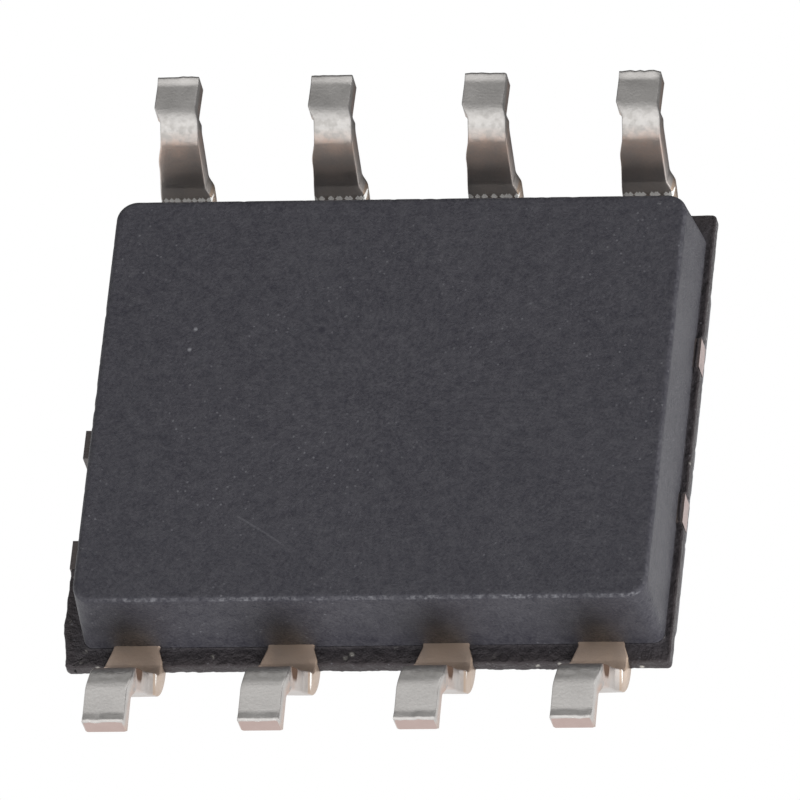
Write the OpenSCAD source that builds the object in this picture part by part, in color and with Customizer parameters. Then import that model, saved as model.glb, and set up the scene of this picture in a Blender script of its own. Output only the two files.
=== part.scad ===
// Eight-lead small-outline package (SOIC-8) with gull-wing leads.
// Units are millimetres. The foot soles stand on z = 0, +Z points away from the
// circuit board, the lead rows run along X and the leads point to -Y and +Y.
// Leads 1 to 4 run from -X to +X on the -Y side, leads 5 to 8 run back on the +Y side.

/* [Moulded body] */
// Length of the body at the parting plane, along the lead rows
body_l = 4.76; // [4.6:0.01:5.2]
// Width of the body at the parting plane, across the lead rows
body_w = 3.81; // [3.7:0.01:4.1]
// How far the body was moulded off the middle of the lead frame, along X
body_off_x = -0.03; // [-0.05:0.005:0.05]
// How far the body was moulded off the middle of the lead frame, along Y
body_off_y = 0.025; // [-0.05:0.005:0.05]
// Height of the lower half, from the underside to the middle of the lead frame
lower_h = 0.76; // [0.7:0.01:0.9]
// Height of the upper half, from the middle of the lead frame to the top
upper_h = 0.74; // [0.6:0.01:0.9]
// Draft of the side walls from the vertical, in degrees
draft = 2.5; // [1:0.5:8]
// Corner radius of the body at the parting plane
corner_r = 0.18; // [0.15:0.01:0.4]
// Rounding between the flat faces and the side walls
rim_r = 0.04; // [0.02:0.01:0.08]
// Bevel along the top edge on the side of leads 1 to 4, which tells the leads apart
bevel = 0.40; // [0.25:0.01:0.5]
// Gap between the underside of the body and the circuit board
standoff = 0.10; // [0.05:0.01:0.25]

/* [Parting-line flash] */
// Thickness of the resin ledge left round the parting plane
flash_t = 0.12; // [0.05:0.01:0.16]
// How far the ledge stands out of the -X side
flash_left = 0.05; // [0.03:0.005:0.2]
// How far the ledge stands out of the +X side, in front of the tie bars
flash_right = 0.175; // [0.1:0.005:0.2]
// How far the ledge stands out of the -Y side, between the leads
flash_front = 0.165; // [0.05:0.005:0.25]
// How far the ledge stands out of the +Y side, between the leads
flash_back = 0.18; // [0.05:0.005:0.25]
// Corner radius of the ledge
flash_r = 0.06; // [0.02:0.01:0.1]
// How far the ledge still stands out of the +X side where it was trimmed back
flash_trimmed = 0.08; // [0.02:0.005:0.1]
// How far the cut tie bars stand out of the trimmed ledge on the +X side
tie_proud = 0.10; // [0.02:0.005:0.12]

/* [Leads] */
// Distance from toe to toe across the package
lead_span = 6.0; // [5.9:0.01:6.3]
// Distance between neighbouring leads
lead_pitch = 1.27; // [1.1:0.01:1.27]
// Thickness of the lead frame
lead_t = 0.18; // [0.15:0.01:0.25]
// Width of the leg and foot
foot_w = 0.335; // [0.3:0.005:0.45]
// Width of the narrowest place of the lead, where it leaves the body
neck_w = 0.375; // [0.3:0.005:0.45]
// Length of the flare from the neck to the cuts of the dam bar
flare_l = 0.18; // [0.1:0.01:0.2]
// Width of the lead where the dam bar was cut from both its sides
dam_w = 0.50; // [0.46:0.01:0.6]
// Length of the dam-bar stub left on the -X side of the leg, past the shoulder bend
dam_drop = 0.165; // [0.05:0.005:0.25]
// Length of the flat sole
foot_len = 0.34; // [0.25:0.01:0.45]
// Lean of the leg from the vertical, in degrees
leg_lean = 25; // [10:1:30]
// Inside radius of the bend at the shoulder
shoulder_r = 0.10; // [0.06:0.01:0.14]
// Inside radius of the bend at the heel
heel_r = 0.06; // [0.04:0.01:0.14]

/* [Lead frame inside the body] */
// Length of the die pad along X
pad_l = 2.6; // [2.0:0.05:2.8]
// Width of the die pad along Y
pad_w = 2.3; // [2.3:0.01:2.4]
// How far the die pad is set down below the lead plane
pad_drop = 0.20; // [0.1:0.01:0.3]
// Gap between the die pad and the finger tips
finger_gap = 0.20; // [0.1:0.01:0.25]
// Width of the finger tips
tip_w = 0.44; // [0.3:0.01:0.55]
// Length of the wide tip of each finger
tip_l = 0.18; // [0.12:0.01:0.22]
// Distance of the two middle finger tips from the centre, along X
tip_x_mid = 0.56; // [0.4:0.01:0.65]
// Distance of the two outer finger tips from the centre, along X
tip_x_end = 1.52; // [1.3:0.01:1.7]
// Width of the tie bars that carried the die pad
tie_w = 0.26; // [0.15:0.01:0.35]
// Place of the front tie bar on the -X side, along Y
tie_left_front = -0.64; // [-1.1:0.01:-0.2]
// Place of the back tie bar on the -X side, along Y
tie_left_back = 0.81; // [0.2:0.01:1.0]
// Place of the front tie bar on the +X side, along Y
tie_right_front = -1.02; // [-1.1:0.01:-0.5]
// Place of the back tie bar on the +X side, along Y
tie_right_back = 0.01; // [-0.1:0.01:1.0]
// Length of the sloped part of a tie bar
tie_slope = 0.25; // [0.15:0.01:0.4]

/* [Die and bonding] */
// Length of the silicon die along X
die_l = 1.70; // [1.2:0.05:2.2]
// Width of the silicon die along Y
die_w = 1.50; // [1.0:0.05:1.8]
// Thickness of the silicon die
die_t = 0.25; // [0.15:0.01:0.3]
// Thickness of the die-attach adhesive
attach_t = 0.025; // [0.01:0.005:0.05]
// Margin of adhesive squeezed out round the die
attach_rim = 0.05; // [0:0.01:0.1]
// Distance of the bond places from the edge of the die
bond_inset = 0.12; // [0.08:0.01:0.2]
// Diameter of the bond wires
wire_d = 0.03; // [0.02:0.005:0.05]
// Diameter of the flattened ball at the die end of a wire
ball_d = 0.08; // [0.06:0.005:0.1]
// Height of the flattened ball
ball_h = 0.02; // [0.015:0.005:0.03]
// Straight rise of a wire above the die
wire_rise = 0.07; // [0.05:0.01:0.12]
// Radius of the bend at the top of a wire
loop_r = 0.09; // [0.05:0.01:0.12]

/* [Hidden] */
$fn = 48;

leads_per_side = 4;
lead_count = 2 * leads_per_side;

// Angle by which each bend of a lead runs on into the straight piece beside it, in degrees
lap = 0.5;
// Flats round a wire, and steps along its bend
wire_sides = 8;
bend_steps = 6;
// Steps round the rim of the body
rim_steps = 4;

// Heights above the board
plane_z = standoff + lower_h;
pad_z = plane_z - pad_drop;
pad_top_z = pad_z + lead_t / 2;
die_top_z = pad_top_z + attach_t + die_t;
finger_top_z = plane_z + lead_t / 2;
top_z = plane_z + upper_h;

// Outline of the ledge
flash_x0 = body_off_x - body_l / 2 - flash_left;
flash_x1 = body_off_x + body_l / 2 + flash_right;
flash_y0 = body_off_y - body_w / 2 - flash_front;
flash_y1 = body_off_y + body_w / 2 + flash_back;
trimmed_x = body_off_x + body_l / 2 + flash_trimmed;

// Tie bars: their places, and how far their cut ends are from the middle on each side
tie_y_left = [tie_left_front, tie_left_back];
tie_y_right = [tie_right_front, tie_right_back];
tie_end_left = -flash_x0;
tie_end_right = trimmed_x + tie_proud;

// Side view of a lead: both bends turn by the same angle, in opposite directions
bend_turn = 90 - leg_lean;
shoulder_mid_r = shoulder_r + lead_t / 2;
heel_mid_r = heel_r + lead_t / 2;
bend_drop = (shoulder_mid_r + heel_mid_r) * (1 - cos(bend_turn));
leg_len = (plane_z - lead_t / 2 - bend_drop) / sin(bend_turn);
foot_start = lead_span / 2 - foot_len;
shoulder_end = foot_start - leg_len * cos(bend_turn)
    - (shoulder_mid_r + heel_mid_r) * sin(bend_turn);

// Fingers inside the body
tip_y = pad_w / 2 + finger_gap;
neck_y = shoulder_end - flare_l;

function reverse(list) = [for (i = [len(list) - 1:-1:0]) list[i]];
function lead_side(n) = n <= leads_per_side ? -1 : 1;
function lead_place(n) = n <= leads_per_side ? n : lead_count + 1 - n;
function lead_x(n) = (lead_place(n) - (leads_per_side + 1) / 2) * lead_pitch;
function tip_x(n) = sign(lead_x(n)) * (abs(lead_x(n)) > lead_pitch ? tip_x_end : tip_x_mid);
function bond_x(n) = lead_x(n) / (1.5 * lead_pitch) * (die_l / 2 - bond_inset);

// ---- Moulded body ----

// Rounded rim of one half of the body, as seen in section beside a corner's axis:
// from the drafted wall up to the flat face at height h.
function rim_arc(h) = let (centre_x = corner_r - h * tan(draft) - rim_r / tan((90 + draft) / 2))
    [for (step = [0:rim_steps])
        let (a = draft + (90 - draft) * step / rim_steps)
        [centre_x + rim_r * cos(a), h - rim_r * (1 - sin(a))]];

// Corner of the body, turned about its own axis: drafted both ways from the parting plane.
module corner_post() {
    lower_rim = [for (p = rim_arc(lower_h)) [p[0], -p[1]]];
    rotate_extrude($fn = 32)
        polygon([[0, upper_h], each reverse(rim_arc(upper_h)), [corner_r, 0],
                 each lower_rim, [0, -lower_h]]);
}

module moulding() {
    hull() for (x = [-1, 1], y = [-1, 1])
        translate([body_off_x + x * (body_l / 2 - corner_r),
                   body_off_y + y * (body_w / 2 - corner_r), plane_z])
            corner_post();
}

// Wedge that bevels the top edge along the side of leads 1 to 4.
module bevel_wedge() {
    edge_y = body_off_y - body_w / 2 + upper_h * tan(draft);
    rotate([90, 0, 90]) linear_extrude(2 * body_l, center = true)
        polygon([[edge_y + bevel, top_z], [edge_y + bevel, top_z + bevel],
                 [edge_y - bevel, top_z + bevel], [edge_y - bevel, top_z - 2 * bevel]]);
}

// Resin ledge round the parting plane, trimmed back on the +X side from the front
// tie bar to the back corner.
module flash_ledge() {
    trimmed_y = tie_right_front - tie_w / 2;
    translate([0, 0, plane_z - flash_t / 2]) linear_extrude(flash_t) difference() {
        hull() for (x = [flash_x0 + flash_r, flash_x1 - flash_r],
                    y = [flash_y0 + flash_r, flash_y1 - flash_r])
            translate([x, y]) circle(r = flash_r);
        translate([trimmed_x, trimmed_y]) square([flash_right, flash_y1 - trimmed_y]);
    }
}

module mould_body() {
    color([0.24, 0.24, 0.26]) difference() {
        union() {
            difference() {
                moulding();
                bevel_wedge();
            }
            flash_ledge();
        }
        die_pad();
        die_attach();
        silicon_die();
        for (n = [1:lead_count]) lead(n);
        for (n = [1:lead_count]) bond_wire(n);
    }
}

// ---- Leads ----

// Part of the bent strip: a ring sector that turns by bend_turn up to an end angle.
module strip_bend(inner_r, end) {
    outer_r = inner_r + lead_t;
    reach = 2 * outer_r;
    a = end - bend_turn - lap;
    b = end + lap;
    mid = (a + b) / 2;
    intersection() {
        difference() {
            circle(r = outer_r);
            circle(r = inner_r);
        }
        polygon([[0, 0], reach * [cos(a), sin(a)], reach * [cos(mid), sin(mid)],
                 reach * [cos(b), sin(b)]]);
    }
}

// Straight leg between the bends, from s0 to s1 along it.
module strip_leg(s0, s1) {
    translate([shoulder_end, plane_z - shoulder_mid_r]) rotate(-bend_turn)
        translate([s0, shoulder_r]) square([s1 - s0, lead_t]);
}

// Side view of the wide part: shoulder bend and dam-bar stub.
module stub_profile() {
    translate([shoulder_end, plane_z - shoulder_mid_r])
        strip_bend(shoulder_r, 90);
    strip_leg(0, dam_drop);
}

// Side view of the narrow part: leg, heel bend and foot.
module foot_profile() {
    strip_leg(dam_drop, leg_len);
    translate([foot_start, lead_t + heel_r]) strip_bend(heel_r, 270);
    translate([foot_start, 0]) square([foot_len, lead_t]);
}

// Plan of the flat part: finger tip, neck and flare to the cuts of the dam bar.
module shoulder_plan(x, tip) {
    tip_end = tip_y + tip_l;
    polygon([[tip - tip_w / 2, tip_y], [tip + tip_w / 2, tip_y],
             [tip + tip_w / 2, tip_end], [x + neck_w / 2, neck_y],
             [x + dam_w / 2, shoulder_end], [x - dam_w / 2, shoulder_end],
             [x - neck_w / 2, neck_y], [tip - tip_w / 2, tip_end]]);
}

// Lead that points to +Y, with its dam-bar stub on one side.
module lead_solid(x, tip, stub_side) {
    translate([0, 0, plane_z - lead_t / 2])
        linear_extrude(lead_t) shoulder_plan(x, tip);
    translate([x, 0, 0]) rotate([90, 0, 90]) {
        translate([0, 0, stub_side * (dam_w - foot_w) / 4])
            linear_extrude((dam_w + foot_w) / 2, center = true) stub_profile();
        linear_extrude(foot_w, center = true) foot_profile();
    }
}

module lead(n) {
    side = lead_side(n);
    color([0.78, 0.77, 0.75]) rotate([0, 0, side > 0 ? 0 : 180])
        lead_solid(side * lead_x(n), side * tip_x(n), -side);
}

// ---- Die pad, adhesive and die ----

// Tie bar that ran from the pad to the frame, up from the pad to the lead plane.
module tie_bar(side, y) {
    slope_end = pad_l / 2 + tie_slope;
    start_x = pad_l / 2 - tie_slope;
    end_x = side > 0 ? tie_end_right : tie_end_left;
    half_t = lead_t / 2;
    translate([0, y, 0]) rotate([90, 0, side > 0 ? 0 : 180])
        linear_extrude(tie_w, center = true)
            polygon([[start_x, pad_z - half_t], [pad_l / 2, pad_z - half_t],
                     [slope_end, plane_z - half_t], [end_x, plane_z - half_t],
                     [end_x, plane_z + half_t], [slope_end, plane_z + half_t],
                     [pad_l / 2, pad_z + half_t], [start_x, pad_z + half_t]]);
}

module die_pad() {
    color([0.80, 0.50, 0.32]) {
        translate([-pad_l / 2, -pad_w / 2, pad_z - lead_t / 2])
            cube([pad_l, pad_w, lead_t]);
        for (y = tie_y_left) tie_bar(-1, y);
        for (y = tie_y_right) tie_bar(1, y);
    }
}

module die_attach() {
    l = die_l + 2 * attach_rim;
    w = die_w + 2 * attach_rim;
    color([0.72, 0.72, 0.74]) translate([-l / 2, -w / 2, pad_top_z])
        cube([l, w, attach_t]);
}

module silicon_die() {
    color([0.32, 0.36, 0.46]) translate([-die_l / 2, -die_w / 2, pad_top_z + attach_t])
        cube([die_l, die_w, die_t]);
}

// ---- Bond wires ----

// One ring of points round a wire. The station s holds its x, its z and its heading:
// 0 is straight up and 90 is level, towards +X.
function wire_ring(s) = [for (k = [0:wire_sides - 1])
    let (across = wire_d / 2 * cos(360 * k / wire_sides))
    [s[0] + across * cos(s[2]), wire_d / 2 * sin(360 * k / wire_sides),
     s[1] - across * sin(s[2])]];

// Tube through a list of stations.
module wire_tube(stations) {
    points = [for (s = stations) each wire_ring(s)];
    last = (len(stations) - 1) * wire_sides;
    polyhedron(points, [
        [for (k = [0:wire_sides - 1]) k],
        for (ring = [0:len(stations) - 2], k = [0:wire_sides - 1])
            let (here = ring * wire_sides, next = (k + 1) % wire_sides)
            [here + k, here + wire_sides + k, here + wire_sides + next, here + next],
        [for (k = [wire_sides - 1:-1:0]) last + k]]);
}

// Gold wire from a ball on the die, up, over one bend and straight down to a
// stitch on the finger. It lies in the local XZ plane and is run long.
module wire_solid(run) {
    bend_z = die_top_z + ball_h + wire_rise;
    end_z = finger_top_z + wire_d / 2;
    reach = norm([run - loop_r, bend_z - end_z]);
    turn = 90 + atan2(bend_z - end_z, run - loop_r) + asin(loop_r / reach);
    wire_tube([[0, die_top_z + ball_h / 2, 0],
        for (step = [0:bend_steps]) let (a = turn * step / bend_steps)
            [loop_r * (1 - cos(a)), bend_z + loop_r * sin(a), a],
        [run, end_z, turn]]);
    translate([0, 0, die_top_z]) cylinder(h = ball_h, d = ball_d);
    translate([run, 0, finger_top_z]) cylinder(h = ball_h, d = ball_d);
}

module bond_wire(n) {
    side = lead_side(n);
    from = [bond_x(n), side * (die_w / 2 - bond_inset)];
    to = [tip_x(n), side * (tip_y + tip_l / 2)];
    way = to - from;
    color([0.90, 0.72, 0.30]) translate([from[0], from[1], 0])
        rotate([0, 0, atan2(way[1], way[0])]) wire_solid(norm(way));
}

mould_body();
die_pad();
die_attach();
silicon_die();
lead(1);  // lead_1
lead(2);  // lead_2
lead(3);  // lead_3
lead(4);  // lead_4
lead(5);  // lead_5
lead(6);  // lead_6
lead(7);  // lead_7
lead(8);  // lead_8
bond_wire(1);  // bond_wire_1
bond_wire(2);  // bond_wire_2
bond_wire(3);  // bond_wire_3
bond_wire(4);  // bond_wire_4
bond_wire(5);  // bond_wire_5
bond_wire(6);  // bond_wire_6
bond_wire(7);  // bond_wire_7
bond_wire(8);  // bond_wire_8
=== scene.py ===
"""Looks of an eight-lead small-outline chip package.

Sizes are in millimetres and turned into metres by mm. The soles of the feet stand on
z = 0, the lead rows run along X and the leads point to -Y and +Y.
"""

import math

import bpy
from mathutils import Matrix, Vector, noise


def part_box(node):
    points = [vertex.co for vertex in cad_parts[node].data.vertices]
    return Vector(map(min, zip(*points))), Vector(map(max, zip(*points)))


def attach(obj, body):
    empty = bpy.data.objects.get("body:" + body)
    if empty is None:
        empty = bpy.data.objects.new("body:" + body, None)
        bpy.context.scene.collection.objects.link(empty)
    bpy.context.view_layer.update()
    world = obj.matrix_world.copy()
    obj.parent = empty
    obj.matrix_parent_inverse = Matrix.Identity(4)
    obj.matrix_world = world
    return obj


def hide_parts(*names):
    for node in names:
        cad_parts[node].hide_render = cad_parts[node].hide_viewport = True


mm = 0.001
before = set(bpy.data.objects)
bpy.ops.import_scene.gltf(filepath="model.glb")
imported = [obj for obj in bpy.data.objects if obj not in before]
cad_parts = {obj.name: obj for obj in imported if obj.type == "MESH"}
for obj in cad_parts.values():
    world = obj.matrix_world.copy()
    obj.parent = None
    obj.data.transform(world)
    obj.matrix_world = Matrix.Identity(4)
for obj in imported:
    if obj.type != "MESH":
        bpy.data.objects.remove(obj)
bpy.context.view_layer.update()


# ---- Camera ----
# The package lies on its back under a long lens, so the lens looks up at the
# underside, from the -Y side, with the feet pointing at it.

camera_distance = 195 * mm
view_width = 6.436 * mm
view_from = Vector((-0.2083, -0.5020, -0.8394)).normalized()
view_up = Vector((-0.0115, 0.8595, -0.5111))
view_right = view_up.cross(view_from).normalized()
view_up = view_from.cross(view_right)
view_shift_right = 0.054 * mm
view_shift_up = 0.386 * mm
view_centre = (Vector((0, 0, 0.86 * mm)) + view_shift_right * view_right
               + view_shift_up * view_up)

lens = bpy.data.cameras.new("camera")
lens.sensor_width = 36
lens.lens = lens.sensor_width * camera_distance / view_width
lens.clip_start = 0.01
lens.clip_end = 10
camera = bpy.data.objects.new("camera", lens)
camera.matrix_world = (Matrix.Translation(view_centre + camera_distance * view_from)
                       @ Matrix((view_right, view_up, view_from)).transposed().to_4x4())
bpy.context.scene.collection.objects.link(camera)
bpy.context.scene.camera = camera


# ---- Die pad ----
# A square of rolled copper alloy, set down below the lead plane and stamped in one
# piece with the four tie bars. Those were cut off at the resin on the short sides, and
# resin is smeared over their faces there, so only the cut ends show copper.

strip_copper = (0.80, 0.46, 0.33, 1)
strip_copper_dark = (0.62, 0.33, 0.23, 1)
smeared_resin = (0.045, 0.036, 0.034, 1)
cut_copper = (0.40, 0.29, 0.27, 1)
smear_start_squared = 4.9
smear_full_squared = 5.3


def feed(tree, socket, value):
    """Gives a shader socket a constant or the output of another node."""
    if isinstance(value, bpy.types.NodeSocket):
        tree.links.new(value, socket)
    else:
        socket.default_value = value


def put(tree, kind, sockets, output=0, **settings):
    """Adds one shader node and gives back one of its outputs."""
    added = tree.nodes.new("ShaderNode" + kind)
    for name, value in settings.items():
        setattr(added, name, value)
    for name, value in sockets.items():
        feed(tree, added.inputs[name], value)
    return added.outputs[output]


def tint(tree, amount, first, second):
    """Colour that goes from first to second as amount goes from 0 to 1."""
    mixer = tree.nodes.new("ShaderNodeMix")
    mixer.data_type = "RGBA"
    # Inputs 6 and 7 take the two colours, and output 2 gives the mixed one.
    for place, value in ((0, amount), (6, first), (7, second)):
        feed(tree, mixer.inputs[place], value)
    return mixer.outputs[2]


def span(tree, value, low, high, low_out=0.0, high_out=1.0):
    """Value from low to high, spread over low_out to high_out and held at both ends."""
    return put(tree, "MapRange", {"Value": value, "From Min": low, "From Max": high,
                                  "To Min": low_out, "To Max": high_out})


def times(tree, first, second):
    return put(tree, "Math", {0: first, 1: second}, operation="MULTIPLY")


def less(tree, first, second):
    return put(tree, "Math", {0: first, 1: second}, operation="SUBTRACT")


def axis(tree, vector, name):
    """One of the three parts of a vector."""
    return put(tree, "SeparateXYZ", {"Vector": vector}, output=name)


def finish_for(name, roughness, metallic):
    """A material with its tree and a place in millimetres on the piece."""
    material = bpy.data.materials.new(name)
    material.use_nodes = True
    tree = material.node_tree
    surface = tree.nodes["Principled BSDF"]
    surface.inputs["Roughness"].default_value = roughness
    surface.inputs["Metallic"].default_value = metallic
    spot = put(tree, "TexCoord", {}, output="Object")
    spot = put(tree, "VectorMath", {0: spot, "Scale": 1 / mm}, operation="SCALE")
    return material, tree, surface, spot


def grain(tree, spot, scale, detail=2.0, crisp=0.5):
    return put(tree, "TexNoise", {"Vector": spot, "Scale": scale, "Detail": detail,
                                  "Roughness": crisp})


def relief(tree, surface, height, depth):
    """Raises the surface by height times depth, in millimetres."""
    bumped = put(tree, "Bump", {"Height": height, "Distance": depth * mm, "Strength": 1.0})
    feed(tree, surface.inputs["Normal"], bumped)


def rolled_copper():
    material, tree, surface, spot = finish_for("rolled_copper", roughness=0.34, metallic=1.0)
    drawn_out = put(tree, "VectorMath", {0: spot, 1: (4, 60, 60)}, operation="MULTIPLY")
    lines = grain(tree, drawn_out, scale=1.0)
    patches = grain(tree, spot, scale=3.0, detail=3.0)
    colour = tint(tree, span(tree, patches, 0.35, 0.7), strip_copper, strip_copper_dark)
    outward = axis(tree, put(tree, "NewGeometry", {}, output="Normal"), "X")
    along = axis(tree, spot, "X")
    at_ends = span(tree, times(tree, along, along), smear_start_squared, smear_full_squared)
    cut_face = span(tree, outward, -0.9, -0.8, 1.0, 0.0)
    torn = grain(tree, spot, scale=9.0, detail=3.0)
    cut_face = times(tree, cut_face, span(tree, torn, 0.35, 0.60, 0.35, 1.0))
    colour = tint(tree, at_ends, colour, tint(tree, cut_face, smeared_resin, cut_copper))
    covered = times(tree, at_ends, less(tree, 1.0, cut_face))
    feed(tree, surface.inputs["Base Color"], colour)
    feed(tree, surface.inputs["Metallic"], less(tree, 1.0, covered))
    feed(tree, surface.inputs["Roughness"], span(tree, lines, 0.3, 0.7, 0.26, 0.42))
    relief(tree, surface, lines, depth=0.002)
    return material


def give(node_name, material):
    """Gives a piece that keeps its mesh one material all over."""
    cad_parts[node_name].data.materials.clear()
    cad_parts[node_name].data.materials.append(material)


give("die_pad", rolled_copper())


# ---- Die attach ----
# A thin layer of epoxy filled with silver flakes, dispensed on the pad and cured
# under the die, with a narrow rim squeezed out round it.

silver_dark = (0.34, 0.34, 0.35, 1)
silver_bright = (0.62, 0.62, 0.63, 1)


def silver_epoxy():
    material, tree, surface, spot = finish_for("silver_epoxy", roughness=0.55, metallic=0.0)
    flakes = put(tree, "TexVoronoi", {"Vector": spot, "Scale": 60.0}, output="Color")
    sparkle = put(tree, "SeparateColor", {"Color": flakes})
    feed(tree, surface.inputs["Base Color"], tint(tree, sparkle, silver_dark, silver_bright))
    feed(tree, surface.inputs["Metallic"], span(tree, sparkle, 0.4, 0.8, 0.1, 0.8))
    relief(tree, surface, sparkle, depth=0.003)
    return material


give("die_attach", silver_epoxy())


# ---- Silicon die ----
# The chip itself, sawn from a polished wafer. Its top holds blocks of circuits under
# dull metal tracks; the sawn sides are plain grey silicon.

block_blue = (0.045, 0.06, 0.10, 1)
block_violet = (0.10, 0.075, 0.11, 1)
block_seam = (0.42, 0.40, 0.36, 1)
track_metal = (0.30, 0.29, 0.26, 1)


def silicon():
    material, tree, surface, spot = finish_for("silicon", roughness=0.18, metallic=0.2)
    blocks = put(tree, "TexBrick", {
        "Vector": spot, "Scale": 1.0, "Brick Width": 0.24, "Row Height": 0.15,
        "Mortar Size": 0.008, "Color1": block_blue, "Color2": block_violet,
        "Mortar": block_seam})
    tracks = put(tree, "TexWave", {"Vector": spot, "Scale": 9.0, "Distortion": 0.0})
    on_track = span(tree, tracks, 0.7, 0.9, 0.0, 0.35)
    feed(tree, surface.inputs["Base Color"], tint(tree, on_track, blocks, track_metal))
    relief(tree, surface, tracks, depth=0.001)
    return material


give("silicon_die", silicon())


# ---- Bond wires ----
# Eight gold wires: each is welded as a ball on the die, led over one bend and
# pressed down as a stitch on the tip of its lead.

gold_bright = (0.93, 0.62, 0.22, 1)
gold_dull = (0.78, 0.47, 0.15, 1)


def drawn_gold():
    material, tree, surface, spot = finish_for("drawn_gold", roughness=0.22, metallic=1.0)
    dulling = grain(tree, spot, scale=25.0)
    feed(tree, surface.inputs["Base Color"], tint(tree, dulling, gold_bright, gold_dull))
    feed(tree, surface.inputs["Roughness"], span(tree, dulling, 0.3, 0.7, 0.16, 0.30))
    relief(tree, surface, dulling, depth=0.001)
    return material


gold = drawn_gold()
for number in range(1, 9):
    give(f"bond_wire_{number}", gold)


# ---- Leads ----
# Each lead is one strip punched from copper alloy, with a finger inside the resin.
# Outside it is tin-plated and bent to a gull wing. The dam bar and the toe were cut
# after plating, so those cuts show bare copper.

lead_pitch = 1.27
strip_thick = 0.18
lead_plane = 0.86
finger_tip_y = 1.35
finger_wide = 0.44
finger_wide_end = 1.53
finger_x_middle = 0.56
finger_x_outer = 1.52
neck_y = 1.904
neck_wide = 0.375
dam_cut_y = 2.084
dam_wide = 0.50
stub_reach = 0.226
stub_drop = 0.108
foot_wide = 0.335
foot_shy = 0.006
foot_spare = 0.014
leg_offset = 0.022
leg_spare = 0.026
heel_waist = {-1: 0.0, 1: 0.046}
shoulder_end = 2.052
leg_long = 0.576
leg_turn = math.radians(65)
foot_tilt = math.radians(4)
shoulder_radius = 0.24
heel_radius = 0.19
foot_long = 0.302
toe_cap = 0.010
toe_chamfer = 0.012
punched_edge = 0.014
skin_uneven = 0.003
burr_height = 0.020
burr_long = 0.080
burr_even = 0.7
burr_ragged = 0.9
stations_per_mm = 64

# Where a change of width or of finish starts and where it is complete, both measured
# down the strip from the start of its straight leg.
leg_taper = (0.05, 0.40)
heel_start = (0.40, 0.66)
foot_start = (0.71, 0.83)
rubbed_start = (0.06, 0.09)
rubbed_end = (0.178, 0.190)
# The next two bound the painted shade on the -X side of the inner heel.
heel_shade_start = (0.34, 0.46)
heel_shade_end = (0.54, 0.68)
# Crumbs of tin near the body, painted white as glints.
glint_crumbs_middle = 0.062
glint_crumbs_reach = 0.030

tin = (0.47, 0.455, 0.44, 1)
tin_stained = (0.45, 0.345, 0.275, 1)
tin_warm = (0.53, 0.405, 0.345, 1)
tin_shadow = (0.36, 0.345, 0.33, 1)
# Near-white painted onto the crumbs as their glint.
crumb_glint_white = (0.92, 0.91, 0.88, 1)
bare_copper = (0.47, 0.36, 0.33, 1)
dam_copper = (0.50, 0.385, 0.30, 1)
# Dark brown painted shade for the -X side of the inner heel.
heel_shade_brown = (0.060, 0.034, 0.022, 1)


def eased(value, start, end):
    """0 before start, 1 after end, and a smooth step between them."""
    share = min(max((value - start) / (end - start), 0.0), 1.0)
    return share * share * (3 - 2 * share)


def strip_path():
    """Middle line of a formed lead, as (y, z, slope, length so far) from tip to toe."""
    bends = [(shoulder_end - finger_tip_y, 0.0), (shoulder_radius * leg_turn, leg_turn),
             (leg_long, 0.0), (heel_radius * (leg_turn + foot_tilt), -leg_turn - foot_tilt),
             (foot_long, 0.0)]
    y, z, slope, done = finger_tip_y, lead_plane, 0.0, 0.0
    path = [(y, z, slope, done)]
    for length, turn in bends:
        steps = max(6, round(length * stations_per_mm))
        step = length / steps
        for _ in range(steps):
            y += step * math.cos(slope + turn / steps / 2)
            z -= step * math.sin(slope + turn / steps / 2)
            slope += turn / steps
            done += step
            path.append((y, z, slope, done))
    return path


def strip_reach(y, drop, side):
    """How far the strip reaches to -X and to +X of its middle. The leg stands a little
    to -X of the foot, and the heel is drawn in on the other side."""
    to_neck = min(max((y - finger_wide_end) / (neck_y - finger_wide_end), 0.0), 1.0)
    to_dam = min(max((y - neck_y) / (dam_cut_y - neck_y), 0.0), 1.0)
    flare = (finger_wide + (neck_wide - finger_wide) * to_neck
             + (dam_wide - neck_wide) * to_dam) / 2
    on_foot = eased(drop, *foot_start)
    at_heel = eased(drop, *heel_start) * (1 - on_foot)
    leg_left = foot_wide / 2 + leg_offset * (1 - on_foot) - foot_shy * on_foot
    leg_right = (foot_wide / 2 + leg_spare * (1 - eased(drop, *leg_taper))
                 - heel_waist[side] * at_heel + foot_spare * on_foot)
    stub_cut = eased(drop, stub_drop - 0.03, stub_drop + 0.09)
    flush_cut = eased(y, dam_cut_y, dam_cut_y + 0.03)
    stub = min(flare, stub_reach)
    return (stub + (leg_left - stub) * stub_cut, flare + (leg_right - flare) * flush_cut)


def strip_section(left, right, half_thick):
    """Cross-section of the strip as (across, up), round from its lower -X edge."""
    edge_steps, flat_steps = 4, 8
    corners = ((-left, -half_thick, 1, 1), (right, -half_thick, -1, 1),
               (right, half_thick, -1, -1), (-left, half_thick, 1, -1))
    section = []
    for number, (across, up, inward, rise) in enumerate(corners):
        start = math.radians(180 + 90 * number)
        for step in range(edge_steps + 1):
            turn = start + math.radians(90) * step / edge_steps
            section.append((across + punched_edge * (inward + math.cos(turn)),
                            up + punched_edge * (rise + math.sin(turn))))
        if number in (0, 2):
            flat = (left + right - 2 * punched_edge) * inward / flat_steps
            last = section[-1]
            section += [(last[0] + flat * step, last[1]) for step in range(1, flat_steps)]
    return section


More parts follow.
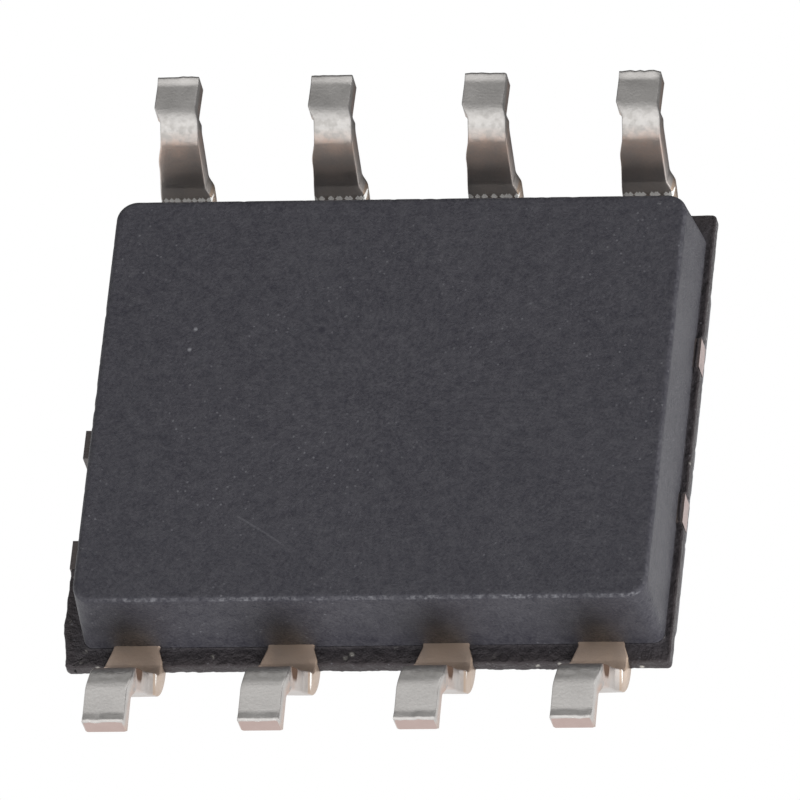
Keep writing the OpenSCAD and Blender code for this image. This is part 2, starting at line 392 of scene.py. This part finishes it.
def lead_mesh(number):
    """Strip of one lead, as points, faces and its marks: bare copper at the toe's cut and at the
    dam bar's, the stretched skin of the bends, the side that faces down, the band rubbed by the
    forming tool, the crumbs of tin at its upper end, which are painted white as glints, and
    painted shade on the -X side of the inner heel of leads 1 to 4."""
    side = -1 if number <= 4 else 1
    place = number if number <= 4 else 9 - number
    lead_x = (place - 2.5) * lead_pitch
    finger_reach = finger_x_outer if abs(lead_x) > lead_pitch else finger_x_middle
    finger_x = math.copysign(finger_reach, lead_x)
    path = strip_path()
    leg_start = next(done for y, z, slope, done in path if slope > leg_turn - 0.001)
    y, z, slope, toe = path[-1]
    path.append((y + toe_cap * math.cos(slope), z - toe_cap * math.sin(slope), slope, toe))
    points, faces = [], []
    marks = {name: [] for name in ("bare", "dam_cut", "bent", "under", "rubbed", "crumb_glints",
                                   "inner_heel_shade")}
    for row, (y, z, slope, done) in enumerate(path):
        drop = done - leg_start
        chamfer = toe_chamfer if row == len(path) - 1 else 0.0
        left, right = strip_reach(y, drop, side)
        middle_x = finger_x + (lead_x - finger_x) * eased(y, finger_wide_end, neck_y)
        in_bend = math.sin(math.pi * min(max(slope / leg_turn, 0.0), 1.0))
        near_toe = eased(done, toe - burr_long, toe)
        on_stub = (eased(y, neck_y, neck_y + 0.06)
                   * (1 - eased(drop, stub_drop - 0.02, stub_drop + 0.04)))
        # Crumbs of tin, painted white as glints, in a row close to the body.
        crumb_glints = max(1 - abs(drop - glint_crumbs_middle) / glint_crumbs_reach, 0.0)
        rubbed = eased(drop, *rubbed_start) * (1 - eased(drop, *rubbed_end))
        # Painted shade: dark on the -X side of the inner heel, on leads 1 to 4 only.
        inner_heel_shade = eased(drop, *heel_shade_start) * (1 - eased(drop, *heel_shade_end)) if side < 0 else 0.0
        section = strip_section(left - chamfer, right - chamfer, strip_thick / 2 - chamfer)
        for across, up in section:
            below = up < 0
            wander = noise.noise(Vector((across * 5 + number * 7, done * 4, up * 4)))
            ragged = noise.noise(Vector((across * 38, number * 3.1, 0.5)))
            burr = burr_height * near_toe * (burr_even + burr_ragged * ragged) if below else 0.0
            cut_side = eased(-across, left - punched_edge * 0.8, left - 0.002)
            height = up + skin_uneven * wander * (1 - near_toe) - burr
            points.append(((middle_x + across) * mm,
                           side * (y + height * math.sin(slope)) * mm,
                           (z + height * math.cos(slope)) * mm))
            marks["bare"].append(0.0)
            marks["dam_cut"].append(cut_side * on_stub)
            marks["bent"].append(in_bend)
            marks["under"].append(1.0 if below else 0.0)
            marks["rubbed"].append(rubbed if below else 0.0)
            marks["crumb_glints"].append(crumb_glints if below else 0.0)
            marks["inner_heel_shade"].append(cut_side * inner_heel_shade * (1 - eased(up, -0.02, 0.06)))
    ring = len(section)
    for row in range(len(path) - 1):
        for k in range(ring):
            a, b = row * ring + k, row * ring + (k + 1) % ring
            faces.append((a, a + ring, b + ring, b))
    for row, outward in ((0, False), (len(path) - 1, True)):
        cap = len(points)
        points += points[row * ring:(row + 1) * ring]
        for name, values in marks.items():
            values += [1.0 if outward and name == "bare" else 0.0] * ring
        for k in range(ring // 2 - 1):
            face = (cap + k, cap + k + 1, cap + ring - 2 - k, cap + ring - 1 - k)
            faces.append(face[::-1] if outward else face)
    if side < 0:
        faces = [face[::-1] for face in faces]
    return points, faces, marks


def solid_piece(name, points, faces, marks, material):
    """A closed, smooth-shaded piece, with its named marks kept on the points."""
    mesh = bpy.data.meshes.new(name)
    mesh.from_pydata(points, [], faces)
    for mark, values in marks.items():
        mesh.attributes.new(mark, "FLOAT", "POINT").data.foreach_set("value", values)
    mesh.polygons.foreach_set("use_smooth", [True] * len(mesh.polygons))
    mesh.materials.append(material)
    piece = bpy.data.objects.new(name, mesh)
    bpy.context.scene.collection.objects.link(piece)
    return piece


def mark_of(tree, name):
    return put(tree, "Attribute", {}, output="Fac", attribute_name=name)


def plus(tree, first, second):
    return put(tree, "Math", {0: first, 1: second}, operation="ADD")


def larger(tree, first, second):
    return put(tree, "Math", {0: first, 1: second}, operation="MAXIMUM")


def tin_plate():
    """Tin plating: stained brown high on the underside of the strip, warm just above the sole,
    dented in the bends, with crumbs near the body painted white as glints and painted shade at
    the inner heel, and dull where it is stained, rubbed, crumbed or under the painted heel
    shade."""
    material, tree, surface, spot = finish_for("tin_plate", roughness=0.36, metallic=1.0)
    height = axis(tree, spot, "Z")
    blotches = grain(tree, spot, scale=7.0, detail=3.0)
    pebbles = grain(tree, spot, scale=45.0, detail=3.0, crisp=0.6)
    dimples = grain(tree, spot, scale=17.0)
    under = mark_of(tree, "under")
    bent = mark_of(tree, "bent")
    bared = span(tree, mark_of(tree, "bare"), 0.3, 0.6)
    dam_cut = span(tree, mark_of(tree, "dam_cut"), 0.3, 0.6)
    # Painted shade at the inner heel, also made dull and rough.
    painted_heel_shade = span(tree, mark_of(tree, "inner_heel_shade"), 0.20, 0.50)

    stain = times(tree, span(tree, height, 0.60, 0.74), under)
    stain = times(tree, stain, span(tree, blotches, 0.2, 0.6, 0.8, 1.0))
    warm = times(tree, span(tree, height, 0.05, 0.13), span(tree, height, 0.2, 0.5, 1.0, 0.3))
    warm = times(tree, warm, span(tree, blotches, 0.35, 0.6, 0.6, 1.0))
    # Row of crumbs painted white as glints, and dull.
    crumb_glints = put(tree, "TexVoronoi", {"W": axis(tree, spot, "X"), "Scale": 26.0},
                 output="Distance", voronoi_dimensions="1D")
    crumb_glints = less(tree, mark_of(tree, "crumb_glints"), times(tree, crumb_glints, 1.4))
    crumb_glints = span(tree, crumb_glints, 0.02, 0.14)
    pores = times(tree, span(tree, pebbles, 0.40, 0.75), 0.35)
    dents = times(tree, span(tree, dimples, 0.45, 0.62, 0.0, 0.95), bent)
    dents = times(tree, dents, less(tree, 1.0, stain))

    colour = tint(tree, warm, tin, tin_warm)
    for amount, shade in ((pores, tin_shadow), (dents, tin_shadow), (stain, tin_stained),
                          (bared, bare_copper), (dam_cut, dam_copper), (painted_heel_shade, heel_shade_brown),
                          (crumb_glints, crumb_glint_white)):
        colour = tint(tree, amount, colour, shade)
    feed(tree, surface.inputs["Base Color"], colour)

    dull = times(tree, span(tree, height, 0.12, 0.62, 0.10, 0.20), under)
    dull = plus(tree, dull, times(tree, mark_of(tree, "rubbed"), 0.26))
    for amount in (times(tree, stain, 0.5), crumb_glints, painted_heel_shade):
        dull = larger(tree, dull, amount)
    feed(tree, surface.inputs["Metallic"], less(tree, 1.0, dull))
    feed(tree, surface.inputs["Roughness"],
         larger(tree, span(tree, blotches, 0.3, 0.7, 0.32, 0.42), painted_heel_shade))
    rough = plus(tree, times(tree, pebbles, 0.25), times(tree, dimples, bent))
    relief(tree, surface, rough, depth=0.006)
    return material


plating = tin_plate()
for number in range(1, 9):
    points, faces, marks = lead_mesh(number)
    lead = solid_piece(f"formed_lead_{number}", points, faces, marks, plating)
    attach(lead, "root")
    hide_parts(f"lead_{number}")


# ---- Moulded body ----
# One block of black epoxy full of fine silica, moulded round the lead frame with
# drafted walls and a bevel along the top edge beside leads 1 to 4. A rough ledge of
# resin is left round the parting plane, trimmed back with the tie bars.

body_x = (-2.41, 2.35)
body_y = (-1.88, 1.93)
body_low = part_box("mould_body")[0].z / mm
body_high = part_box("mould_body")[1].z / mm
foot_corner_radius = 0.08
face_corner_radius = 0.20
face_corner_from_plane = 0.7
rim_radius = 0.04
lower_draft = math.radians(2.5)
upper_draft = math.radians(7)
bevel = 0.40
ledge_x = (-2.468, 2.525)
ledge_y = (-2.045, 2.12)
ledge_corner = 0.035
ledge_thick = 0.12
ledge_edge = 0.015
ledge_uneven = 0.006
ledge_ragged = 0.009
ledge_ragged_fine = 0.006
ledge_calm = 0.35
chip_deep = 0.012
trimmed_x = 2.43
trimmed_from_y = -1.15
front_corner_cut = 0.045
front_corner_long = 0.4
tie_places = {-1: (-0.64, 0.81), 1: (-1.02, 0.01)}
ties_within_y = 1.3
tie_wide = 0.26
tie_fade = 0.04
tie_bleed = 0.035
tie_set_back = 0.022

resin_dark = (0.014, 0.0135, 0.0185, 1)
resin_light = (0.0405, 0.0395, 0.0455, 1)
resin_pale = (0.12, 0.12, 0.13, 1)
resin_brown = (0.020, 0.0155, 0.015, 1)
resin_nub = (0.26, 0.25, 0.23, 1)
# Pale brown for the front wall beside the leads: dust, and painted light that offsets the leads'
# shadow there.
resin_dust_and_light = (0.115, 0.095, 0.080, 1)
dust_and_light_wide = 0.24
dust_and_light_heights = (0.40, 0.75)
pit_place = (0.51, 0.66, 0.10)
speck_places = ((1.55, 0.68, 0.10), (1.58, 0.49, 0.10))
scratch_start = Vector((1.05, -1.06, 0.10))
scratch_end = Vector((0.57, -1.34, 0.10))
scratch_bow = 0.12


def rounded_outline(x_span, y_span, radius):
    """Points round a rounded rectangle and the way out of it, always the same count."""
    side_steps, corner_steps = (160, 200), 14
    corners = ((x_span[1], y_span[0], -1, 1), (x_span[1], y_span[1], -1, -1),
               (x_span[0], y_span[1], 1, -1), (x_span[0], y_span[0], 1, 1))
    centres = [Vector((x + radius * x_in, y + radius * y_in)) for x, y, x_in, y_in in corners]
    outline = []
    for number, centre in enumerate(centres):
        for step in range(corner_steps + 1):
            turn = math.radians(90) * (number - 1 + step / corner_steps)
            outward = Vector((math.cos(turn), math.sin(turn)))
            outline.append((centre + radius * outward, outward))
        first = outline[-1][0]
        last = centres[(number + 1) % 4] + radius * outward
        steps = side_steps[number % 2]
        outline += [(first.lerp(last, step / steps), outward) for step in range(1, steps)]
    return outline


def wall_outline(height, inset):
    """Outline of the wall at a height, pushed in by the rim's rounding and the bevel."""
    from_plane = abs(lead_plane - height)
    inset += from_plane * math.tan(upper_draft if height > lead_plane else lower_draft)
    bevelled = max(height - (body_high - bevel), 0.0)
    radius = foot_corner_radius + (face_corner_radius - foot_corner_radius) * min(
        from_plane / face_corner_from_plane, 1.0)
    return rounded_outline((body_x[0] + inset, body_x[1] - inset),
                           (body_y[0] + inset + bevelled, body_y[1] - inset),
                           max(radius - inset, 0.02))


def half_rings(face, away):
    """Rings from a flat face to the ledge, as (height, inset, how far out, kind)."""
    rim_steps, ledge_steps, lip_steps = 6, 5, 3
    wall_end = abs(lead_plane - face) - ledge_thick / 2
    rings = [(face, rim_radius + inset, 0.0, "face") for inset in (0.2, 0.08, 0.02)]
    for step in range(rim_steps + 1):
        turn = math.radians(90) * step / rim_steps
        rings.append((face + away * rim_radius * (1 - math.cos(turn)),
                      rim_radius * (1 - math.sin(turn)), 0.0, "rim"))
    for depth in (0.08, 0.15, 0.25, 0.34, bevel - 0.01, bevel + 0.01, 0.46, 0.52,
                  wall_end - 0.06, wall_end - 0.02, wall_end - 0.004):
        rings.append((face + away * depth, 0.0, 0.0, "wall"))
    edge = lead_plane - away * ledge_thick / 2
    rings += [(edge, 0.0, 0.02 + 0.98 * step / ledge_steps, "ledge")
              for step in range(ledge_steps + 1)]
    for step in range(1, lip_steps + 1):
        turn = math.radians(90) * step / lip_steps
        rings.append((edge + away * ledge_edge * (1 - math.cos(turn)),
                      -ledge_edge * math.sin(turn), 1.0, "lip"))
    rings.append((lead_plane - away * ledge_thick / 6, -ledge_edge, 1.0, "lip"))
    return rings


def near_tie(spot):
    """1 where the ledge meets a tie bar, 0 away from it."""
    if abs(spot.y) > ties_within_y or abs(spot.x) < body_x[1]:
        return 0.0
    return max(1 - eased(abs(spot.y - place), tie_wide / 2, tie_wide / 2 + tie_fade)
               for place in tie_places[1 if spot.x > 0 else -1])


def trimmed(spot):
    """The ledge's edge on the short sides. On +X it is trimmed back behind a step near
    the front, and its front corner is cut in; on -X it is set back at the tie bars."""
    if spot.x > trimmed_x:
        at_corner = 1 - eased(spot.y, ledge_y[0], ledge_y[0] + front_corner_long)
        left_over = 1 - eased(spot.y, trimmed_from_y - 0.02, trimmed_from_y + 0.02)
        past_cut = spot.x - front_corner_cut * at_corner - trimmed_x
        spot = Vector((trimmed_x + past_cut * left_over, spot.y))
    if spot.x < body_x[0]:
        spot = Vector((spot.x + tie_set_back * near_tie(spot), spot.y))
    return spot


def body_mesh():
    """Skin of the moulding: rings of points, closed by a flat face below and above. Its marks
    are the worn rim, the ledge, and the pale brown on the front wall below the leads, which is
    dust and also painted light that offsets the leads' shadow there."""
    points, faces = [], []
    marks = {"wear": [], "ledge": [], "dust_and_light": []}
    rings = half_rings(body_low, 1) + half_rings(body_high, -1)[::-1]
    for height, inset, out, kind in rings:
        lower_half = height < lead_plane
        wall = wall_outline(height, max(inset, 0.0))
        edge_inset = ledge_edge + min(inset, 0.0)
        lip = rounded_outline((ledge_x[0] + edge_inset, ledge_x[1] - edge_inset),
                              (ledge_y[0] + edge_inset, ledge_y[1] - edge_inset), ledge_corner)
        for (on_wall, outward), (on_lip, _) in zip(wall, lip):
            spot = on_wall.lerp(trimmed(on_lip), out)
            here = Vector((spot.x * 9, spot.y * 9, height * 6))
            calm = ledge_calm if spot.x < body_x[0] + 0.2 else 1.0
            rough = (ledge_ragged * noise.noise(here)
                     + ledge_ragged_fine * noise.noise(here * 4.3)) * out * calm
            chip = max(noise.noise(here * 1.6) - 0.25, 0.0) * chip_deep if kind == "rim" else 0.0
            lift = ledge_uneven * noise.noise(here * 2.2) if kind == "ledge" else 0.0
            if height < lead_plane - 0.01:
                lift -= tie_bleed * near_tie(spot) * min(out * 3, 1.0)
            spot += outward * (rough - chip)
            points.append((spot.x * mm, spot.y * mm, (height + lift) * mm))

            wear = 1.0 if outward.y < -0.7 and lower_half else 0.25
            at_edge = kind == "rim" and 0.05 < inset / rim_radius < 0.6
            marks["wear"].append(wear if at_edge else 0.0)
            marks["ledge"].append({"ledge": 0.6 + 0.4 * out, "lip": 1.0}.get(kind, 0.0))
            # Dust and painted light on the front wall beside each front lead.
            beside = min(abs(spot.x - (place - 1.5) * lead_pitch) for place in range(4))
            dusty_and_lit = (1 - eased(beside, 0.0, dust_and_light_wide)) * eased(height, *dust_and_light_heights)
            front_wall = kind == "wall" and spot.y < 0 and lower_half
            marks["dust_and_light"].append(dusty_and_lit if front_wall else 0.0)
    count = len(wall)
    for row in range(len(rings) - 1):
        for k in range(count):
            a, b = row * count + k, row * count + (k + 1) % count
            faces.append((a, b, b + count, a + count))
    faces.append(tuple(range(count))[::-1])
    faces.append(tuple(range((len(rings) - 1) * count, len(rings) * count)))
    return points, faces, marks


def near_spot(tree, spot, place, inner, outer):
    """1 inside a small round mark on the piece, fading to 0 at its outer radius."""
    distance = put(tree, "VectorMath", {0: spot, 1: place}, output="Value",
                   operation="DISTANCE")
    return span(tree, distance, inner, outer, 1.0, 0.0)


def reach_along(tree, place, way):
    """How far a place lies along a way."""
    return put(tree, "VectorMath", {0: place, 1: way}, output="Value",
               operation="DOT_PRODUCT")


def scratch(tree, spot):
    """1 along the fine, slightly bowed scratch on the underside."""
    way = (scratch_end - scratch_start).normalized()
    length = (scratch_end - scratch_start).length
    place = put(tree, "VectorMath", {0: spot, 1: scratch_start}, operation="SUBTRACT")
    along = reach_along(tree, place, way)
    aside = reach_along(tree, place, way.cross(Vector((0, 0, 1))))
    aside = plus(tree, aside, times(tree, times(tree, along, along), scratch_bow))
    aside = put(tree, "Math", {0: aside}, operation="ABSOLUTE")
    on_line = span(tree, aside, 0.003, 0.011, 1.0, 0.0)
    ends = times(tree, span(tree, along, 0.0, 0.05),
                 span(tree, along, length - 0.1, length, 1.0, 0.0))
    return times(tree, on_line, ends)


def moulded_resin():
    """Black resin: pebbled and faintly clouded, with pale specks of silica, nubs on the ledge,
    wear on the rim, dust beside the front leads that is also painted light offsetting their
    shadow, a pit, two specks and a scratch."""
    material, tree, surface, spot = finish_for("moulded_resin", roughness=0.55, metallic=0.0)
    pebbles = grain(tree, spot, scale=45.0, detail=3.0, crisp=0.7)
    clumps = grain(tree, spot, scale=11.0, detail=3.0, crisp=0.6)
    mottle = grain(tree, spot, scale=1.1, detail=3.0)
    clouds = grain(tree, spot, scale=2.2, detail=1.0)
    mixed = plus(tree, times(tree, pebbles, 0.65), times(tree, clumps, 0.35))
    mixed = plus(tree, mixed, span(tree, clouds, 0.30, 0.70, -0.025, 0.025))

    silica = put(tree, "TexVoronoi", {"Vector": spot, "Scale": 14.0}, output="Distance")
    silica = times(tree, span(tree, silica, 0.08, 0.16, 1.0, 0.0),
                   span(tree, mottle, 0.45, 0.6))
    fine_chips = grain(tree, spot, scale=18.0, detail=3.0, crisp=0.7)
    chipped = grain(tree, spot, scale=3.5)
    chips = times(tree, span(tree, fine_chips, 0.45, 0.62),
                  span(tree, chipped, 0.40, 0.60, 0.15, 1.0))
    worn = times(tree, mark_of(tree, "wear"), chips)
    ledge = mark_of(tree, "ledge")
    nubs = put(tree, "TexVoronoi", {"Vector": spot, "Scale": 6.0}, output="Distance")
    nubs = times(tree, span(tree, nubs, 0.07, 0.17, 1.0, 0.0), ledge)
    nubs = times(tree, nubs, span(tree, clumps, 0.45, 0.60))
    # Dust and painted light that offsets the leads' shadow on the front wall.
    dust_and_light = times(tree, mark_of(tree, "dust_and_light"), span(tree, mixed, 0.38, 0.60, 0.25, 0.8))

    colour = tint(tree, span(tree, mixed, 0.34, 0.66), resin_dark, resin_light)
    for amount, shade in ((times(tree, ledge, 0.7), resin_brown), (dust_and_light, resin_dust_and_light),
                          (nubs, resin_nub), (times(tree, silica, 0.45), resin_pale),
                          (times(tree, worn, 0.8), resin_pale),
                          (times(tree, scratch(tree, spot), 0.22), resin_pale),
                          (near_spot(tree, spot, pit_place, 0.022, 0.042), resin_dark),
                          (near_spot(tree, spot, speck_places[0], 0.008, 0.022), resin_pale),
                          (near_spot(tree, spot, speck_places[1], 0.008, 0.022), resin_pale)):
        colour = tint(tree, amount, colour, shade)
    feed(tree, surface.inputs["Base Color"], colour)
    feed(tree, surface.inputs["Roughness"], span(tree, mottle, 0.3, 0.7, 0.50, 0.60))
    surface.inputs["Specular IOR Level"].default_value = 0.28
    surface.inputs["Sheen Weight"].default_value = 0.06
    surface.inputs["Sheen Roughness"].default_value = 0.35
    broken = times(tree, grain(tree, spot, scale=8.0, detail=4.0, crisp=0.6), ledge)
    relief(tree, surface, plus(tree, mixed, times(tree, broken, 5.0)), depth=0.010)
    return material


points, faces, marks = body_mesh()
body = solid_piece("moulded_block", points, faces, marks, moulded_resin())
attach(body, "root")
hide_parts("mould_body")


# ---- Studio ----
# A white room with a pale floor just under the feet. What glossy metal mirrors is brighter in
# front of the package than behind it, where a dark board stands as painted shade: it stands for
# a table lying in shadow there, and only the metal sees it. The two strong lamps stand wholly
# below the floor's level, so they don't light the floor.

floor_gap = 0.02 * mm
floor_size = (2.0, 2.0)
floor_white = (0.9, 0.9, 0.9, 1)
# Painted shade: a dim sheet behind the package that stands for a table in shadow.
shadow_board_place = (0, 4.5 * mm, 1.6 * mm)
shadow_board_size = (14 * mm, 6 * mm)
shadow_board_glow = 0.10
room_light = 0.46


def plain_sheet(name, centre, toward, size, material):
    """A rectangle that faces one way, to stand as floor or board."""
    mesh = bpy.data.meshes.new(name)
    wide, high = size[0] / 2, size[1] / 2
    mesh.from_pydata([(-wide, -high, 0), (wide, -high, 0), (wide, high, 0), (-wide, high, 0)],
                     [], [(0, 1, 2, 3)])
    mesh.materials.append(material)
    sheet = bpy.data.objects.new(name, mesh)
    sheet.matrix_world = (Matrix.Translation(centre)
                          @ Vector(toward).to_track_quat("Z", "Y").to_matrix().to_4x4())
    sheet.visible_diffuse = False
    sheet.visible_transmission = False
    sheet.visible_shadow = False
    bpy.context.scene.collection.objects.link(sheet)
    return sheet


def stage_paint(name):
    """A material, its tree and the socket that takes its surface."""
    material = bpy.data.materials.new(name)
    material.use_nodes = True
    tree = material.node_tree
    return material, tree, tree.nodes["Material Output"].inputs["Surface"]


def floor_paint():
    """White paint on the upper side; from below the floor isn't seen."""
    material, tree, outside = stage_paint("floor_paint")
    surface = tree.nodes["Principled BSDF"]
    surface.inputs["Base Color"].default_value = floor_white
    surface.inputs["Roughness"].default_value = 0.9
    below = put(tree, "NewGeometry", {}, output="Backfacing")
    clear = put(tree, "BsdfTransparent", {})
    feed(tree, outside, put(tree, "MixShader", {0: below, 1: surface.outputs[0], 2: clear}))
    return material


def shadow_board_paint():
    """An even dark grey, painted shade for a table in shadow, which only the bright metal
    mirrors.
    """
    material, tree, outside = stage_paint("shadow_board_paint")
    feed(tree, outside, put(tree, "Emission", {"Color": (1, 1, 1, 1), "Strength": shadow_board_glow}))
    return material


floor = plain_sheet("floor", (0, 0, -floor_gap), (0, 0, 1), floor_size, floor_paint())
floor.visible_glossy = False
# The dark board is painted shade, seen only in reflections.
shadow_board = plain_sheet("painted_shadow_board", shadow_board_place, (0, -1, 0), shadow_board_size, shadow_board_paint())
shadow_board.visible_camera = False

world = bpy.data.worlds.new("white_room")
world.use_nodes = True
tree = world.node_tree
seen = put(tree, "LightPath", {}, output="Is Camera Ray")
mirrored = put(tree, "LightPath", {}, output="Is Glossy Ray")
through = put(tree, "LightPath", {}, output="Is Transmission Ray")
way = put(tree, "TexCoord", {}, output="Generated")
backward = axis(tree, way, "Y")
upward = axis(tree, way, "Z")

# What the metal mirrors: the room below the package, the room above it, and a bright
# patch almost straight below it.
below = times(tree, span(tree, backward, -0.6, 0.35, 1.25, 1.2),
              span(tree, backward, 0.36, 0.62, 1.0, 0.10))
below = plus(tree, below, span(tree, backward, 0.70, 0.90, 0.0, 0.65))
above = times(tree, span(tree, backward, -1.0, -0.5, 0.70, 1.0),
              span(tree, backward, -0.5, 0.5, 1.14, 1.02))
over = span(tree, upward, -0.1, 0.3)
room = plus(tree, times(tree, above, over), times(tree, below, less(tree, 1.0, over)))
patch = reach_along(tree, way, (0.2, -0.35, -0.91))
room = plus(tree, room, span(tree, patch, 0.84, 0.98, 0.0, 0.52))

# Seen directly the room is white, and its light on the package is the same all round.
plain = larger(tree, seen, through)
strength = plus(tree, times(tree, mirrored, room), plain)
shown = put(tree, "Math", {0: plus(tree, mirrored, plain), 1: 1.0}, operation="MINIMUM")
strength = plus(tree, strength, times(tree, less(tree, 1.0, shown), room_light))
backdrop = tree.nodes["Background"]
backdrop.inputs["Color"].default_value = (1, 1, 1, 1)
feed(tree, backdrop.inputs["Strength"], strength)
bpy.context.scene.world = world


def soft_lamp(name, toward, distance, size, power):
    """A square lamp that faces the package and isn't mirrored in the metal."""
    light = bpy.data.lights.new(name, "AREA")
    light.shape = "SQUARE"
    light.size = size
    light.energy = power
    lamp = bpy.data.objects.new(name, light)
    direction = Vector(toward).normalized()
    lamp.matrix_world = (Matrix.Translation(direction * distance)
                         @ direction.to_track_quat("Z", "Y").to_matrix().to_4x4())
    lamp.visible_glossy = False
    bpy.context.scene.collection.objects.link(lamp)


soft_lamp("lamp_under", (-0.1, -0.95, -0.31), distance=0.30, size=0.18, power=1.70)
soft_lamp("lamp_side", (-0.93, 0.16, -0.30), distance=0.30, size=0.18, power=1.42)
soft_lamp("lamp_above", (0.1, 0.2, 0.97), distance=0.12, size=0.12, power=0.05)

bpy.context.scene.view_settings.view_transform = "Standard"
